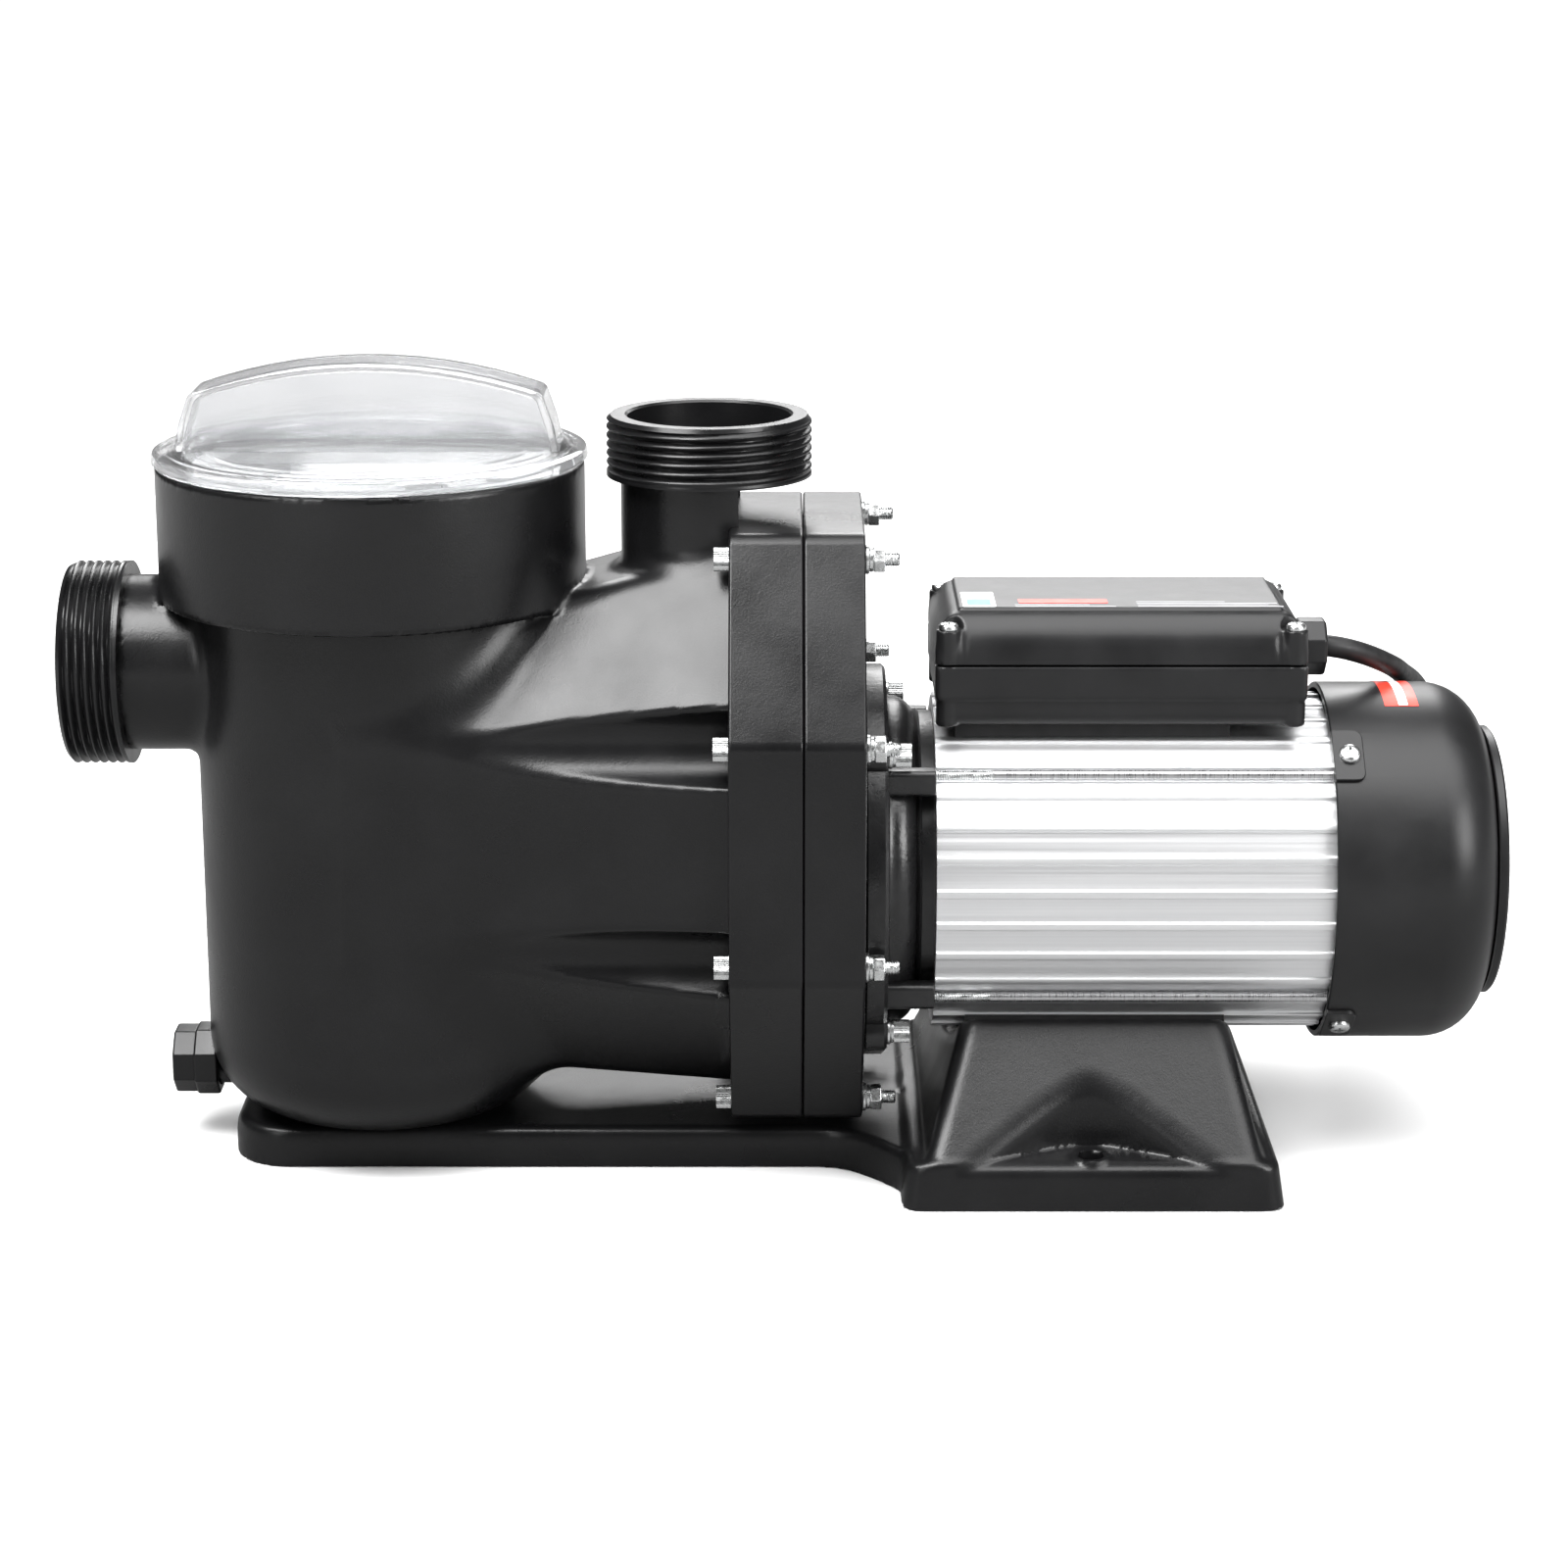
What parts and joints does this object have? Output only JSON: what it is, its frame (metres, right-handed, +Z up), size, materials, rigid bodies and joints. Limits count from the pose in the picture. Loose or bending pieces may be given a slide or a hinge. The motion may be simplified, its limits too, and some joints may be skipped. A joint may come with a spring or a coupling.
{
  "type": "pool pump",
  "caption": "Self-priming pool pump: strainer pot with clear screw lid and basket, octagonal volute flange, fan-cooled mains motor with terminal box, moulded foot and corded plug.",
  "frame": {"origin": "on the floor, at the middle of the pump's length and width, cord left out", "axes": "+X from the suction stub to the motor fan, along the shaft; +Z up, towards the discharge stub; the terminal box's cord lies on the +Y side"},
  "size_m": [0.617, 0.3482, 0.348],
  "materials": {
    "black_plastic": "textured glass-filled polypropylene",
    "motor_plastic": "fine matt moulding",
    "aluminium": "bare extrusion",
    "cast_iron": "black enamel on a die casting",
    "zinc": "bright zinc plating",
    "steel": "ground steel",
    "copper": "varnished copper wire",
    "ceramic": "lapped ceramic",
    "rubber": "matt black rubber",
    "clear": "clear polycarbonate",
    "white_plastic": "white polypropylene",
    "beige_plastic": "smooth moulding",
    "cable": "smooth cable jacket"
  },
  "bodies": {
    "pump": {"base": "black_plastic", "motor_pad": "rubber", "pump_housing": "black_plastic", "seal_plate": "black_plastic", "housing_seal": "rubber", "diffuser": "black_plastic", "seal_seat": "ceramic", "front_bracket": "cast_iron", "front_bearing": "steel", "motor_frame": "aluminium", "stator_core": "steel", "winding_front": "copper", "winding_rear": "copper", "rear_bracket": "cast_iron", "rear_bearing": "steel", "fan_cover": "motor_plastic", "box_gasket": "rubber", "terminal_box": "motor_plastic", "terminal_box_lid": "motor_plastic", "capacitor": "beige_plastic", "terminal_block": "beige_plastic", "gland_body": "motor_plastic", "gland_nut": "motor_plastic", "power_cord": "cable", "cord_coil": "cable", "plug": "motor_plastic", "housing_bolt_1": "zinc", "housing_bolt_2": "zinc", "housing_bolt_3": "zinc", "housing_bolt_4": "zinc", "housing_bolt_5": "zinc", "housing_bolt_6": "zinc", "housing_bolt_7": "zinc", "housing_bolt_8": "zinc", "tie_rod_1": "zinc", "tie_rod_2": "zinc", "tie_rod_3": "zinc", "tie_rod_4": "zinc", "flange_screw_1": "zinc", "flange_screw_2": "zinc", "flange_screw_3": "zinc", "flange_screw_4": "zinc", "cover_screw_1": "zinc", "cover_screw_2": "zinc", "cover_screw_3": "zinc", "cover_screw_4": "zinc", "box_screw_1": "zinc", "box_screw_2": "zinc", "box_screw_3": "zinc", "box_screw_4": "zinc"},
    "rotor": {"shaft": "steel", "rotor_core": "steel", "impeller": "black_plastic", "cooling_fan": "motor_plastic", "seal_head": "steel"},
    "lid_ring": {"lid_seal": "rubber"},
    "lid": {"strainer_lid": "clear"},
    "basket": {"strainer_basket": "white_plastic"},
    "drain_ring": {"drain_gasket": "rubber"},
    "drain_plug": {"drain_cap": "black_plastic"}
  },
  "joints": [
    {"name": "shaft_spin", "type": "hinge", "parent": "pump", "child": "rotor", "pos_m": [0, 0, 0.127], "axis": [1, 0, 0], "continuous": true},
    {"name": "lid_lift", "type": "slide", "parent": "pump", "child": "lid_ring", "axis": [0, 0, 1], "range_m": [0, 0.56]},
    {"name": "lid_turn", "type": "hinge", "parent": "lid_ring", "child": "lid", "pos_m": [-0.177, 0, 0.308], "axis": [0, 0, 1], "range_deg": [0, 90]},
    {"name": "basket_lift", "type": "slide", "parent": "pump", "child": "basket", "axis": [0, 0, 1], "range_m": [0, 0.281]},
    {"name": "drain_turn", "type": "hinge", "parent": "drain_ring", "child": "drain_plug", "pos_m": [-0.261, 0, 0.0346], "axis": [-1, 0, 0], "range_deg": [0, 1440]},
    {"name": "drain_back_off", "type": "slide", "parent": "pump", "child": "drain_ring", "axis": [-1, 0, 0], "range_m": [0, 0.0121]}
  ],
  "couplings": [
    {"joint": "basket_lift", "follows": "lid_lift", "ratio": 0.5},
    {"joint": "drain_back_off", "follows": "drain_turn", "m_per_rad": 0.00047746}
  ]
}
